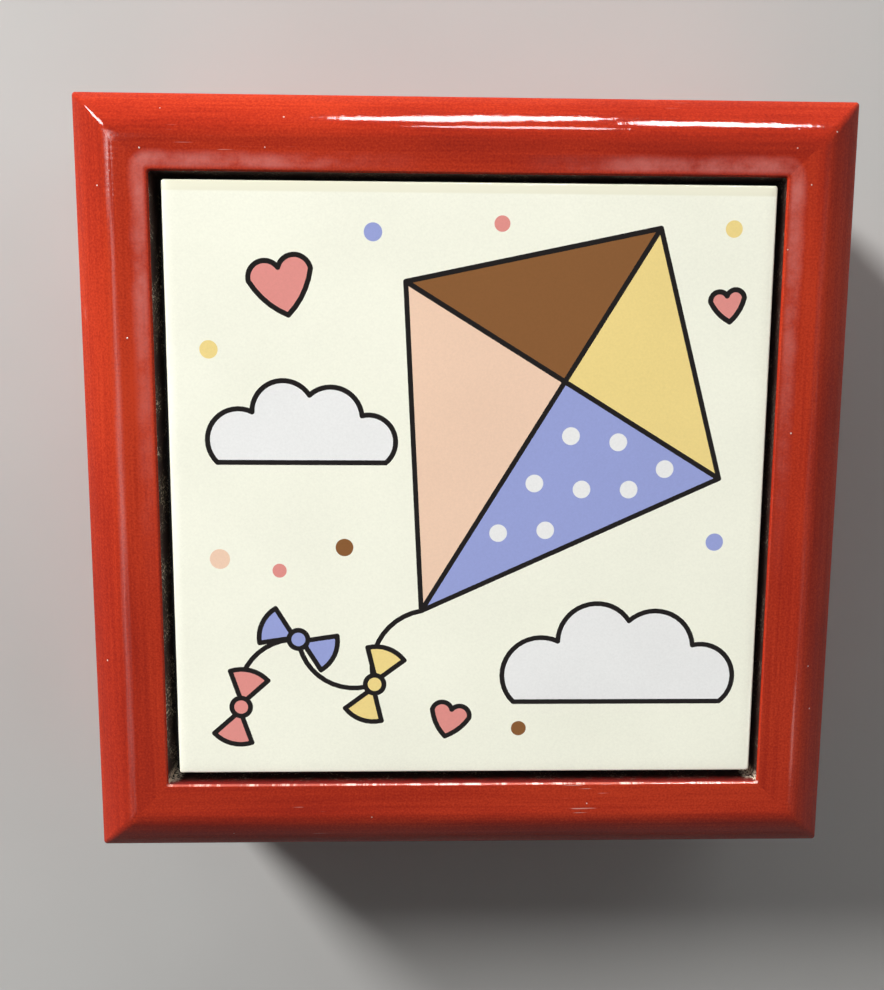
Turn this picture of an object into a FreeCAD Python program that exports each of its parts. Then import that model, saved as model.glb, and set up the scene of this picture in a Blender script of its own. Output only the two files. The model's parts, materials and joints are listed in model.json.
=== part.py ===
import FreeCAD, Part
import math
import os

# A square lacquered keepsake box. Its hinged lid is a mitred frame that holds a glazed tile.
# Lengths are millimetres and angles are degrees. Z is up, the hinges are on the +Y side,
# and the origin is the middle of the underside.

# Tile
tile_side = 107.95
tile_thickness = 6.0
tile_corner_radius = 0.5
tile_cushion_width = 2.4
tile_cushion_radius = 16.0
tile_edge_radius = 0.5
tile_back_bevel = 0.6
tile_set_down = 0.5
tile_shift_right = 0.3
tile_shift_back = 0.43

# Foam tape between the tile and its panel
tape_thickness = 0.8
tape_pad_side = 22.0
tape_pad_margin = 9.0

# Lid frame
lid_height = 19.05
rail_width = 14.15
tile_gap = 1.725
opening_corner_radius = 0.5
opening_ease = 0.25
moulding_width = 8.6
moulding_shoulder_radius = 6.5
moulding_nose_radius = 1.6
shoulder_end_angle = 27.0
slope_end_angle = 46.0
lid_panel_thickness = 3.0

# Base
base_height = 31.75
wall_thickness = 11.5
floor_panel_thickness = 3.0
floor_rebate = 5.0
felt_thickness = 1.0
felt_margin = 3.0

# Eased edges and fits of the woodwork
parting_ease = 0.6
bottom_ease = 1.0
corner_ease = 0.6
panel_fit = 0.1

# Felt linings
wall_lining_thickness = 1.2
floor_lining_thickness = 1.6
lid_lining_thickness = 1.2
lining_fit = 0.2
lining_set_down = 1.5

# Hinges, and the bevels behind them that stop the lid
lid_open_angle = 100.0
stop_slack_angle = 1.0
bevel_depth = 3.0
bevel_set_back = 0.2
hinge_inset = 31.75
hinge_length = 22.0
leaf_margin = 1.0
leaf_thickness = 1.0
leaf_gap = 0.2
leaf_corner_radius = 1.2
barrel_radius = 1.5
knuckle_count = 5
knuckle_gap = 0.3
pin_radius = 0.75
pin_clearance = 0.04
hinge_clearance = 0.3
mortise_clearance = 0.15

# Hinge screws
screw_spacing = 12.0
screw_length = 7.0
screw_radius = 0.8
screw_tip_length = 1.6
screw_head_radius = 1.45
screw_head_height = 0.7
screw_slot_width = 0.4
screw_slot_depth = 0.35
screw_clearance = 0.05

# How far every cutter runs past the faces that it cuts
overrun = 2.0

# Sizes that follow from those above
opening_side = tile_side + 2 * tile_gap
case_side = opening_side + 2 * rail_width
inside_side = case_side - 2 * wall_thickness
rim_z = base_height
top_z = base_height + lid_height
tile_top_z = top_z - tile_set_down
tile_bottom_z = tile_top_z - tile_thickness
ledge_z = tile_bottom_z - tape_thickness
lid_panel_bottom_z = ledge_z - lid_panel_thickness
floor_z = felt_thickness + floor_panel_thickness
back_y = case_side / 2
axis_y = back_y - bevel_depth
leaf_reach = wall_thickness - bevel_depth - leaf_margin
notch_reach = barrel_radius + hinge_clearance
screw_y = axis_y - (notch_reach + leaf_reach) / 2
hinge_x = case_side / 2 - hinge_inset

CENTRE = FreeCAD.Vector(0, 0, 0)
RIM_CENTRE = FreeCAD.Vector(0, 0, rim_z)
TILE_CENTRE = FreeCAD.Vector(tile_shift_right, tile_shift_back, 0)
HINGE_AXIS_POINT = FreeCAD.Vector(0, axis_y, rim_z)
X_AXIS = FreeCAD.Vector(1, 0, 0)
Z_AXIS = FreeCAD.Vector(0, 0, 1)


# Plain shapes

def box(low, high):
    """A box from its lowest to its highest corner."""
    sizes = [top - bottom for bottom, top in zip(low, high)]
    return Part.makeBox(*sizes, FreeCAD.Vector(*low))


def square_slab(side, bottom, top, corner_radius=0):
    """A square slab about the Z axis, with its upright edges rounded where a radius is given."""
    slab = box((-side / 2, -side / 2, bottom), (side / 2, side / 2, top))
    if corner_radius == 0:
        return slab
    return slab.makeFillet(corner_radius, upright_edges(slab))


def upright_edges(shape):
    """The straight edges of a shape that run along Z."""
    return [edge for edge in shape.Edges if abs(edge.tangentAt(edge.FirstParameter).z) == 1]


def across_rim(shape):
    """The mirror image of a shape in the plane where the lid meets the base."""
    return shape.mirror(RIM_CENTRE, Z_AXIS)


# Sections in the XZ plane, and blocks made from them

def section_line(start, end):
    """A straight edge of a section, between two (across, up) points."""
    return Part.LineSegment(*[FreeCAD.Vector(x, 0, z) for x, z in (start, end)]).toShape()


def section_arc(centre, radius, first, last):
    """An arc of a section about an (across, up) point, between two angles above the X axis."""
    angles = [math.radians(angle) for angle in (first, (first + last) / 2, last)]
    points = [
        FreeCAD.Vector(
            centre[0] + radius * math.cos(angle), 0, centre[1] + radius * math.sin(angle)
        )
        for angle in angles
    ]
    return Part.Arc(*points).toShape()


def sine(angle):
    """The sine of an angle in degrees."""
    return math.sin(math.radians(angle))


def beyond(point, distance, tilt):
    """The (across, up) point at a distance square to a surface with a tilt."""
    return (point[0] + distance * sine(tilt), point[1] + distance * sine(90 - tilt))


def moulded_block(side, half_section, corner_radius):
    """A square block with one section on all four sides, mitred where the sides meet.

    The half section runs from the Z axis at the bottom, out along +X, to the Z axis at the top.
    """
    mirrored = [edge.mirror(CENTRE, X_AXIS) for edge in half_section]
    loop = Part.__sortEdges__(half_section + mirrored)
    face = Part.Face(Part.Wire(loop))
    face.translate(FreeCAD.Vector(0, -side, 0))
    along_y = face.extrude(FreeCAD.Vector(0, 2 * side, 0))
    along_x = along_y.rotated(CENTRE, Z_AXIS, 90)
    bounds = along_y.BoundBox
    post = square_slab(side, bounds.ZMin - overrun, bounds.ZMax + overrun, corner_radius)
    return along_y.common(along_x).common(post)


def mitred_sides(frame):
    """The four sides of a square frame, cut apart along its mitres."""
    reach = case_side
    wedge_points = [(0, 0), (-reach, -reach), (reach, -reach), (0, 0)]
    outline = Part.makePolygon([FreeCAD.Vector(x, y, -overrun) for x, y in wedge_points])
    wedge = Part.Face(outline).extrude(FreeCAD.Vector(0, 0, top_z + 2 * overrun))
    names = ("front", "right", "rear", "left")
    turns = {name: 90 * count for count, name in enumerate(names)}
    return {name: frame.common(wedge.rotated(CENTRE, Z_AXIS, turn)) for name, turn in turns.items()}


# Tile

def tile():
    """A glazed tile with a cushioned edge, set a little off the middle of its opening."""
    half = tile_side / 2
    flat_half = half - tile_cushion_width
    run = tile_cushion_width - tile_edge_radius
    rise = math.sqrt((tile_cushion_radius - tile_edge_radius) ** 2 - run ** 2)
    meet = math.degrees(math.atan2(rise, run))
    cushion_centre = (flat_half, tile_top_z - tile_cushion_radius)
    edge_centre = (half - tile_edge_radius, cushion_centre[1] + rise)
    half_section = [
        section_line((0, tile_bottom_z), (half - tile_back_bevel, tile_bottom_z)),
        section_line((half - tile_back_bevel, tile_bottom_z), (half, tile_bottom_z + tile_back_bevel)),
        section_line((half, tile_bottom_z + tile_back_bevel), (half, edge_centre[1])),
        section_arc(edge_centre, tile_edge_radius, 0, meet),
        section_arc(cushion_centre, tile_cushion_radius, meet, 90),
        section_line((flat_half, tile_top_z), (0, tile_top_z)),
    ]
    block = moulded_block(tile_side, half_section, tile_corner_radius)
    return block.translated(TILE_CENTRE)


def tape_pads():
    """A square of foam tape under each corner of the tile."""
    place = tile_side / 2 - tape_pad_margin - tape_pad_side / 2
    pad = square_slab(tape_pad_side, ledge_z, tile_bottom_z)
    places = [FreeCAD.Vector(x, y, 0) for x in (-place, place) for y in (-place, place)]
    return Part.makeCompound([pad.translated(TILE_CENTRE + offset) for offset in places])


# Woodwork of the lid

def lid_moulding():
    """The arcs of the lid's moulding, from the upright side to the flat, and the height where they start.

    A tight nose turns into a long slope, and a shoulder turns the slope into the flat.
    Both end angles are the tilt of the surface from level.
    """
    half = case_side / 2
    shoulder, nose = moulding_shoulder_radius, moulding_nose_radius
    shoulder_sine, slope_sine = sine(shoulder_end_angle), sine(slope_end_angle)
    slope_run = moulding_width - shoulder * shoulder_sine - nose * (1 - slope_sine)
    slope = slope_run / (slope_sine - shoulder_sine)
    shoulder_centre = (half - moulding_width, top_z - shoulder)
    slope_centre = beyond(shoulder_centre, shoulder - slope, shoulder_end_angle)
    nose_centre = beyond(slope_centre, slope - nose, slope_end_angle)
    arcs = [
        section_arc(nose_centre, nose, 0, 90 - slope_end_angle),
        section_arc(slope_centre, slope, 90 - slope_end_angle, 90 - shoulder_end_angle),
        section_arc(shoulder_centre, shoulder, 90 - shoulder_end_angle, 90),
    ]
    return arcs, nose_centre[1]


def lid_half_section():
    """The lid's outer section: an eased lower edge, an upright side and the moulding."""
    half = case_side / 2
    moulding, nose_z = lid_moulding()
    return [
        section_line((0, rim_z), (half - parting_ease, rim_z)),
        section_arc((half - parting_ease, rim_z + parting_ease), parting_ease, -90, 0),
        section_line((half, rim_z + parting_ease), (half, nose_z)),
        *moulding,
        section_line((half - moulding_width, top_z), (0, top_z)),
    ]


def lid_frame():
    """The whole lid frame: moulding, tile opening with eased lip, hollow underside and stop bevel."""
    block = moulded_block(case_side, lid_half_section(), corner_ease)
    opening = square_slab(opening_side, rim_z - overrun, top_z + overrun, opening_corner_radius)
    framed = block.cut(opening)
    lip = [
        edge
        for edge in framed.Edges
        if edge.BoundBox.ZMin > top_z - opening_ease
        and max(edge.BoundBox.XMax, edge.BoundBox.YMax) <= opening_side / 2 + opening_ease
        and min(edge.BoundBox.XMin, edge.BoundBox.YMin) >= -opening_side / 2 - opening_ease
    ]
    eased = framed.makeFillet(opening_ease, lip)
    hollow = square_slab(inside_side, rim_z - overrun, ledge_z)
    return eased.cut(hollow).cut(across_rim(stop_bevel_cutter()))


def lid_panel():
    """The board under the frame's ledge that carries the tile."""
    return square_slab(inside_side - 2 * panel_fit, lid_panel_bottom_z, ledge_z)


# Woodwork of the base

def base_frame():
    """The four walls as one frame, with the floor's rebate and the stop bevel."""
    half = case_side / 2
    bottom = felt_thickness
    half_section = [
        section_line((0, bottom), (half - bottom_ease, bottom)),
        section_arc((half - bottom_ease, bottom + bottom_ease), bottom_ease, -90, 0),
        section_line((half, bottom + bottom_ease), (half, rim_z - parting_ease)),
        section_arc((half - parting_ease, rim_z - parting_ease), parting_ease, 0, 90),
        section_line((half - parting_ease, rim_z), (0, rim_z)),
    ]
    block = moulded_block(case_side, half_section, corner_ease)
    inside = square_slab(inside_side, bottom - overrun, rim_z + overrun)
    rebate = square_slab(inside_side + 2 * floor_rebate, bottom - overrun, floor_z)
    return block.cut(inside).cut(rebate).cut(stop_bevel_cutter())


def stop_bevel_cutter():
    """The wedge cut off the base's rear rim. The lid has its mirror image, and the two meet when open."""
    stop_angle = math.radians((lid_open_angle + stop_slack_angle) / 2)
    apex_y = axis_y - bevel_set_back
    slope = bevel_depth * math.tan(stop_angle) / (bevel_depth + bevel_set_back)
    far_y = back_y + overrun
    corners = [
        (apex_y, rim_z),
        (apex_y, rim_z + overrun),
        (far_y, rim_z + overrun),
        (far_y, rim_z - slope * (far_y - apex_y)),
        (apex_y, rim_z),
    ]
    outline = Part.makePolygon([FreeCAD.Vector(-case_side, y, z) for y, z in corners])
    return Part.Face(outline).extrude(FreeCAD.Vector(2 * case_side, 0, 0))


def floor_panel():
    """The board in the rebate under the walls."""
    side = inside_side + 2 * (floor_rebate - panel_fit)
    return square_slab(side, felt_thickness, floor_z)


def felt_sheet():
    """The felt on the underside, which the box stands on."""
    return square_slab(case_side - 2 * felt_margin, 0, felt_thickness, corner_ease)


# Linings

def wall_linings():
    """The felt on the four walls: front and rear run full width, left and right fit between them."""
    half = inside_side / 2
    inner = half - wall_lining_thickness
    top = rim_z - lining_set_down
    long_half = half - lining_fit
    short_half = inner - lining_fit
    return {
        "front": box((-long_half, -half, floor_z), (long_half, -inner, top)),
        "rear": box((-long_half, inner, floor_z), (long_half, half, top)),
        "left": box((-half, -short_half, floor_z), (-inner, short_half, top)),
        "right": box((inner, -short_half, floor_z), (half, short_half, top)),
    }


def floor_lining():
    """The felt on the floor, inside the wall linings."""
    side = inside_side - 2 * (wall_lining_thickness + lining_fit)
    return square_slab(side, floor_z, floor_z + floor_lining_thickness)


def lid_lining():
    """The felt under the lid's panel."""
    side = inside_side - 2 * lining_fit
    return square_slab(side, lid_panel_bottom_z - lid_lining_thickness, lid_panel_bottom_z)


# Hinges. A hinge is drawn about x = 0 in place, on its axis, with its plate on the base's side.

def along_axis(start, end, radius):
    """A round bar on the hinge axis between two places along it."""
    return Part.makeCylinder(radius, end - start, HINGE_AXIS_POINT + X_AXIS * start, X_AXIS)


def hinge_plate():
    """A leaf's flat plate, with its two far corners rounded."""
    top = rim_z - leaf_gap / 2
    low = (-hinge_length / 2, axis_y - leaf_reach, top - leaf_thickness)
    plate = box(low, (hinge_length / 2, axis_y, top))
    far_edges = [edge for edge in upright_edges(plate) if edge.CenterOfMass.y < axis_y]
    return plate.makeFillet(leaf_corner_radius, far_edges)


def hinge_leaf(first_knuckle):
    """A leaf that has every second knuckle, from the first one given, and is notched for the others."""
    span = hinge_length / knuckle_count
    slack = knuckle_gap / 2
    starts = [index * span - hinge_length / 2 for index in range(knuckle_count)]
    own = starts[first_knuckle::2]
    leaf = hinge_plate()
    for start in set(starts) - set(own):
        low = (start - slack, axis_y - notch_reach, rim_z - barrel_radius)
        high = (start + span + slack, axis_y + overrun, rim_z + barrel_radius)
        leaf = leaf.cut(box(low, high))
    for start in own:
        leaf = leaf.fuse(along_axis(start + slack, start + span - slack, barrel_radius))
    leaf = leaf.cut(along_axis(-hinge_length, hinge_length, pin_radius + pin_clearance))
    for place in screw_places():
        leaf = leaf.cut(screw_body(screw_clearance).translated(place))
    return leaf.removeSplitter()


def screw_places():
    """Where a leaf's two screws are, on the leaf's face."""
    face_z = rim_z - leaf_gap / 2
    return [FreeCAD.Vector(x, screw_y, face_z) for x in (-screw_spacing / 2, screw_spacing / 2)]


def mortise():
    """The seat in the rear wall for a leaf and its barrel, with the pilot holes of its screws."""
    half = hinge_length / 2 + mortise_clearance
    low = (-half, axis_y - leaf_reach - mortise_clearance, rim_z - leaf_gap / 2 - leaf_thickness)
    seat = box(low, (half, axis_y + overrun, rim_z + overrun))
    cutter = seat.fuse(along_axis(-half, half, barrel_radius + hinge_clearance))
    for place in screw_places():
        cutter = cutter.fuse(screw_body(screw_clearance).translated(place))
    return cutter


def screw_body(clearance):
    """A countersunk screw that points down from the origin, enlarged all round by a clearance."""
    shank_radius = screw_radius + clearance
    head_radius = screw_head_radius + clearance
    tip_z = -screw_length - clearance
    shank_end_z = tip_z + screw_tip_length
    outline = [
        (0, 0),
        (head_radius, 0),
        (shank_radius, -screw_head_height),
        (shank_radius, shank_end_z),
        (0, tip_z),
        (0, 0),
    ]
    profile = Part.Face(Part.makePolygon([FreeCAD.Vector(x, 0, z) for x, z in outline]))
    return profile.revolve(CENTRE, Z_AXIS, 360)


def hinge_screws():
    """The two slotted screws of a base leaf."""
    low = (-screw_head_radius, -screw_slot_width / 2, -screw_slot_depth)
    slot = box(low, (screw_head_radius, screw_slot_width / 2, overrun))
    screw = screw_body(0).cut(slot)
    return [screw.translated(place) for place in screw_places()]


# Assembly

def assembled():
    """Every piece of the box in place, by name."""
    pieces = {f"base_{side}_wall": wall for side, wall in mitred_sides(base_frame()).items()}
    pieces.update({f"lid_{side}_rail": rail for side, rail in mitred_sides(lid_frame()).items()})
    pieces.update({f"{side}_wall_lining": lining for side, lining in wall_linings().items()})
    pieces["base_floor_panel"] = floor_panel()
    pieces["base_felt_sheet"] = felt_sheet()
    pieces["floor_lining"] = floor_lining()
    pieces["lid_backing_panel"] = lid_panel()
    pieces["lid_lining"] = lid_lining()
    pieces["tile_tape_pads"] = tape_pads()
    pieces["ceramic_tile"] = tile()

    base_screws = []
    for side, place in {"left": X_AXIS * -hinge_x, "right": X_AXIS * hinge_x}.items():
        seat = mortise().translated(place)
        pieces["base_rear_wall"] = pieces["base_rear_wall"].cut(seat)
        pieces["lid_rear_rail"] = pieces["lid_rear_rail"].cut(across_rim(seat))
        pieces[f"{side}_hinge_base_leaf"] = hinge_leaf(0).translated(place)
        pieces[f"{side}_hinge_lid_leaf"] = across_rim(hinge_leaf(1)).translated(place)
        pin = along_axis(-hinge_length / 2, hinge_length / 2, pin_radius)
        pieces[f"{side}_hinge_pin"] = pin.translated(place)
        base_screws += [screw.translated(place) for screw in hinge_screws()]
    pieces["hinge_base_screws"] = Part.makeCompound(base_screws)
    pieces["hinge_lid_screws"] = Part.makeCompound([across_rim(screw) for screw in base_screws])
    return pieces


os.makedirs("parts", exist_ok=True)
for name, shape in assembled().items():
    shape.exportStep(f"parts/{name}.step")
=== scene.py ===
import json
import math
from collections import namedtuple

import bmesh
import bpy
import numpy as np
from mathutils import Euler, Matrix, Quaternion, Vector, noise
from mathutils.geometry import delaunay_2d_cdt


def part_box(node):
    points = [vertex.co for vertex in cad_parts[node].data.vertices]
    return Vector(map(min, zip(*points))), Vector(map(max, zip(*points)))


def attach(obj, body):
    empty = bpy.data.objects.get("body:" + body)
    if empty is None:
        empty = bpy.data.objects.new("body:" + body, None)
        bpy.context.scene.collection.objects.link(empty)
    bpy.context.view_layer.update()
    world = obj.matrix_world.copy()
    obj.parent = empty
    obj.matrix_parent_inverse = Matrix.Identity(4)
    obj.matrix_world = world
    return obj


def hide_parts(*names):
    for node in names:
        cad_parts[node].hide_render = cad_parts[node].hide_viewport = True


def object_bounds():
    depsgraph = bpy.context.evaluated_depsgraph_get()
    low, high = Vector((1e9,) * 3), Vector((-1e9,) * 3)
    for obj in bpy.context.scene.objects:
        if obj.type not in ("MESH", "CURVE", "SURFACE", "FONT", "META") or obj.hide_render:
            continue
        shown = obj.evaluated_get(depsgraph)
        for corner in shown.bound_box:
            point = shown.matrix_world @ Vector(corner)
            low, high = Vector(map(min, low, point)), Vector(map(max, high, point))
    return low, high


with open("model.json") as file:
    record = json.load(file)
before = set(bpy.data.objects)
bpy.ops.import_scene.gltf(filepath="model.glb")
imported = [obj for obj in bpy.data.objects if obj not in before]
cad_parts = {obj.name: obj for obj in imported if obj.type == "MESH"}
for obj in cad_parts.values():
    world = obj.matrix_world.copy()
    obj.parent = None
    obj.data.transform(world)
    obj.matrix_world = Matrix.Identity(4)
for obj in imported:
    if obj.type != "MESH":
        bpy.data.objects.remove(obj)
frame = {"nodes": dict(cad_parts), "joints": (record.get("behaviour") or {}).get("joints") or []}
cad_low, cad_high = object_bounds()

# The looks of a square lacquered keepsake box. Its hinged lid is a mitred frame round a glazed tile.
# Lengths are metres in the solids' own frame: Z is up and the hinges are on the +Y side.

# Sizes read from the solids
case_half = cad_high.x
top_z = cad_high.z
wall_bottom_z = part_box("base_front_wall")[0].z
rim_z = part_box("base_front_wall")[1].z
floor_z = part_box("base_floor_panel")[1].z
floor_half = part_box("base_floor_panel")[1].x
inside_half = -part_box("front_wall_lining")[0].y
ledge_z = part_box("lid_backing_panel")[1].z
tile_low, tile_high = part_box("ceramic_tile")
tile_half = (tile_high.x - tile_low.x) / 2
tile_centre = (tile_low + tile_high) / 2
axis_y = frame["joints"][0]["pos_m"][1]
lid_open_angle = frame["joints"][0]["range_deg"][1]

# Woodwork
tile_gap = 0.001725
panel_fit = 0.0001
moulding_width = 0.0086
shoulder_radius = 0.0065
nose_radius = 0.0016
shoulder_end_angle = 27
slope_end_angle = 46
corner_ease = 0.0006
crease_share = 0.1
opening_corner = 0.0005
opening_ease = 0.00025
lip_radius = 0.0002
lip_tilt = 48
parting_ease = 0.0006
bottom_ease = 0.001
square_corner = 0.00005
support_band = 0.0002
bevel_set_back = 0.0002
stop_slack_angle = 1.0
front_lacquer_run = 0.0026
side_lacquer_run = 0.0004
dusty_reach = 0.0022
# Painted sheen: a pale band round the opening that stands in for a reflection of light
sheen_band_width = 0.0038
sheen_band_wobble = 0.0016
sheen_band_fade_share = 0.5
sheen_band_start_shares = (0.05, 0.3)
sheen_band_rear_shares = (-0.4, 0.95)
sheen_band_corner_shares = (0.1, 0.7)
sheen_band_strength_share = 0.62
# Painted highlight: near-white dashes along the opening's front edge, in place of glints
glint_band_width = 0.00026
glint_band_core_share = 0.6
scratch_strength_share = 0.45
mortise_clearance = 0.00015
leaf_seat_depth = 0.0011
barrel_recess_radius = 0.0018
cutter_overrun = 0.002
lacquer_slot = 0
recess_slot = 1

# Tile
tile_corner = 0.0005
tile_cushion_width = 0.0024
tile_cushion_radius = 0.016
tile_edge_radius = 0.0005
tile_back_bevel = 0.0006
tile_flat_corner = 0.0008
tile_bisque_height = 0.0022
# Painted shade: a darker band along the tile's rear edge, where the rear rail's shadow falls
rear_shade_width = 0.0019
rear_shade_fade = 0.0002
glaze_shade_share = 0.93
glaze_light_share = 1.04

# Felt and foam
felt_edge_radius = 0.0004
felt_grid_step = 0.0025
felt_dip = 0.00012
felt_dip_spacing = 0.018
felt_edge_wobble = 0.00012
felt_wobble_spacing = 0.012
side_edge_seed = 1.0
pad_side = 0.022
pad_bulge = 0.0003

# Depths of the relief that materials add
ripple_depth = 0.000008
comb_depth = 0.000014
peel_depth = 0.00008
dust_depth = 0.00006
glaze_depth = 0.000006
felt_depth = 0.0003
board_depth = 0.0001
brass_depth = 0.000006

# Surround: the floor passes into it between two distances from the middle
sweep_start = 0.25
sweep_end = 0.6
surround_level = 0.52

# How finely curves are divided, and how close points count as one
corner_steps = 8
arc_steps = 6
nose_steps = 8
slope_steps = 10
shoulder_steps = 12
smooth_angle = 35
print_arc_step = 9
fold_cosine = -0.999
print_tolerance_share = 1e-6
weld_distance = 1e-6

# Camera, from the place of the lid's corners in the photograph
camera_place = (-0.009139, 0.022212, top_z + 0.170575)
camera_turn = (-7.617, -1.468, 0.339)
camera_lens = 34.546
camera_sensor = 36.0
camera_clip_start = 0.01

# Sizes that follow from those above
opening_half = tile_half + tile_gap
rebate_half = floor_half + panel_fit


def srgb(red, green, blue):
    """A colour given as it shows on a screen, from 0 to 255, as the linear values that shaders take."""
    shares = [channel / 255 for channel in (red, green, blue)]
    linear = [s / 12.92 if s <= 0.04045 else ((s + 0.055) / 1.055) ** 2.4 for s in shares]
    return (*linear, 1.0)


# Colours
dark_red = srgb(142, 32, 17)
middle_red = srgb(167, 43, 21)
bright_red = srgb(191, 58, 28)
# Painted light on the lacquer: a pale sheen round the opening, and a near-white highlight on its front
# edge
painted_sheen_colour = srgb(216, 130, 122)
painted_glint_colour = srgb(244, 206, 192)
lip_red = srgb(122, 20, 14)
dust_colour = srgb(226, 205, 192)
recess_black = srgb(46, 28, 23)
# Light specks in the opening: grains, and painted glints on the left wall
grain_and_glint_colour = srgb(240, 226, 202)
raw_wood_colour = srgb(176, 132, 92)
raw_wood_dark = srgb(128, 86, 54)
board_colour = srgb(124, 88, 58)
board_dark = srgb(82, 55, 34)
board_black = srgb(20, 19, 19)
foam_colour = srgb(228, 226, 218)
foam_shade = srgb(205, 202, 192)
felt_colour = srgb(58, 58, 62)
felt_dark = srgb(25, 25, 28)
brass_colour = srgb(214, 176, 98)
brass_tarnish = srgb(150, 108, 58)
# Painted shade along the tile's rear edge
rear_shade_colour = srgb(237, 235, 212)
bisque_colour = srgb(214, 196, 172)
bisque_shade = srgb(190, 168, 140)
floor_colour = srgb(192, 191, 188)
floor_shade = srgb(186, 185, 182)
glaze_colours = {
    "ivory": srgb(248, 248, 230),
    "outline": srgb(20, 14, 13),
    "brown": srgb(138, 90, 47),
    "yellow": srgb(243, 218, 140),
    "periwinkle": srgb(154, 164, 218),
    "peach": srgb(243, 207, 180),
    "white": srgb(240, 240, 238),
    "pink": srgb(228, 146, 138),
}
glaze_slots = {name: slot for slot, name in enumerate(glaze_colours)}
bisque_slot = len(glaze_colours)


# Node helpers

def add(tree, kind, inputs=None, **settings):
    """Adds a shader node. An input takes a value, or the socket that it is linked from."""
    node = tree.nodes.new("ShaderNode" + kind)
    for key, value in settings.items():
        setattr(node, key, value)
    for key, value in (inputs or {}).items():
        if isinstance(value, bpy.types.NodeSocket):
            tree.links.new(value, node.inputs[key])
        else:
            node.inputs[key].default_value = value
    return node


def new_material(name):
    """A material without nodes, and its node tree."""
    material = bpy.data.materials.new(name)
    material.use_nodes = True
    material.node_tree.nodes.clear()
    return material, material.node_tree


def shaded(material, **inputs):
    """A material with one principled shader, whose inputs take values or are linked from sockets."""
    names = [key.replace("_", " ").title().replace("Ior", "IOR") for key in inputs]
    shader = add(material.node_tree, "BsdfPrincipled", dict(zip(names, inputs.values())))
    add(material.node_tree, "OutputMaterial", {"Surface": shader.outputs["BSDF"]})
    return material


def maths(tree, operation, *values):
    """One step of arithmetic on values."""
    return add(tree, "Math", dict(enumerate(values)), operation=operation).outputs["Value"]


def vector_maths(tree, operation, *vectors):
    """One step of arithmetic on vectors. It gives a vector, or a value where it takes a length."""
    outputs = add(tree, "VectorMath", dict(enumerate(vectors)), operation=operation).outputs
    return outputs["Value" if operation == "LENGTH" else "Vector"]


def place_of(tree, scales=1):
    """The place on the object in metres, times one scale or a scale for each axis."""
    each = scales if isinstance(scales, tuple) else (scales,) * 3
    return vector_maths(tree, "MULTIPLY", add(tree, "TexCoord").outputs["Object"], each)


def axes_of(tree):
    """The place on the object in metres, as its X, Y and Z."""
    return add(tree, "SeparateXYZ", {"Vector": place_of(tree)}).outputs


def noise_of(tree, scales, detail=3.0, roughness=0.5, distortion=0.0):
    """Smooth noise from 0 to 1, at so many waves a metre, or so many along each axis."""
    inputs = {"Vector": place_of(tree, scales), "Scale": 1.0, "Detail": detail}
    inputs.update({"Roughness": roughness, "Distortion": distortion})
    return add(tree, "TexNoise", inputs).outputs["Fac"]


def cells_of(tree, scale):
    """How far the middle of the nearest of many scattered cells is, as a share of their spacing."""
    return add(tree, "TexVoronoi", {"Vector": place_of(tree), "Scale": scale}).outputs["Distance"]


def specks(tree, scale, size_share):
    """1 in small scattered dots, and 0 between them. The dots are a share of their spacing wide."""
    return between(tree, cells_of(tree, scale), size_share, size_share / 2)


def between(tree, value, low, high):
    """A value as a smooth step from 0 at low to 1 at high."""
    inputs = {"Value": value, "From Min": low, "From Max": high}
    return add(tree, "MapRange", inputs, interpolation_type="SMOOTHSTEP").outputs["Result"]


def product(tree, first, *others):
    """Some values multiplied together."""
    for value in others:
        first = maths(tree, "MULTIPLY", first, value)
    return first


def weighted(tree, *terms, start=0.0):
    """The sum of some values, each times its weight, and of a start."""
    total = start
    for value, weight in terms:
        total = maths(tree, "MULTIPLY_ADD", value, weight, total)
    return total


def mixed(tree, share, first, second):
    """The first colour, with a share of the second in it."""
    # A mix of colours takes them at sockets 6 and 7, and gives its result at 2.
    return add(tree, "Mix", {0: share, 6: first, 7: second}, data_type="RGBA").outputs[2]


def ramp(tree, value, stops):
    """A colour for a value, from (place, colour) stops."""
    node = add(tree, "ValToRGB", {"Fac": value})
    elements = node.color_ramp.elements
    while len(elements) < len(stops):
        elements.new(1.0)
    for element, (place, colour) in zip(elements, stops):
        element.position = place
        element.color = colour
    return node.outputs["Color"]


def relief(tree, height, depth, under=None):
    """A bumped normal for a height from 0 to 1, so many metres deep. It may lie on another relief."""
    node = add(tree, "Bump", {"Height": height, "Distance": depth, "Strength": 1.0})
    if under:
        tree.links.new(under, node.inputs["Normal"])
    return node.outputs["Normal"]


def along_grain(grain, along, across):
    """Scales for each axis, for a grain that runs along X or Y."""
    return (along, across, across) if grain == "x" else (across, along, across)


# Materials

def painted_sheen_in(tree, x, y, around):
    """Where a painted sheen lies: a ragged pale band round the opening, at its two rear corners, in
    place of a reflection of light.
    """
    ragged = maths(tree, "SUBTRACT", noise_of(tree, 130, detail=4, roughness=0.6), 0.5)
    reach = weighted(tree, (ragged, sheen_band_wobble), start=around)
    outer = between(tree, reach, sheen_band_width, sheen_band_width * sheen_band_fade_share)
    inner = between(tree, around, *[sheen_band_width * share for share in sheen_band_start_shares])
    rear = between(tree, y, *[opening_half * share for share in sheen_band_rear_shares])
    corner = between(tree, x, *[opening_half * share for share in sheen_band_corner_shares])
    cloudy = between(tree, noise_of(tree, 160, detail=5, roughness=0.65), 0.2, 0.75)
    return product(tree, outer, inner, cloudy, rear, corner, sheen_band_strength_share)


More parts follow.
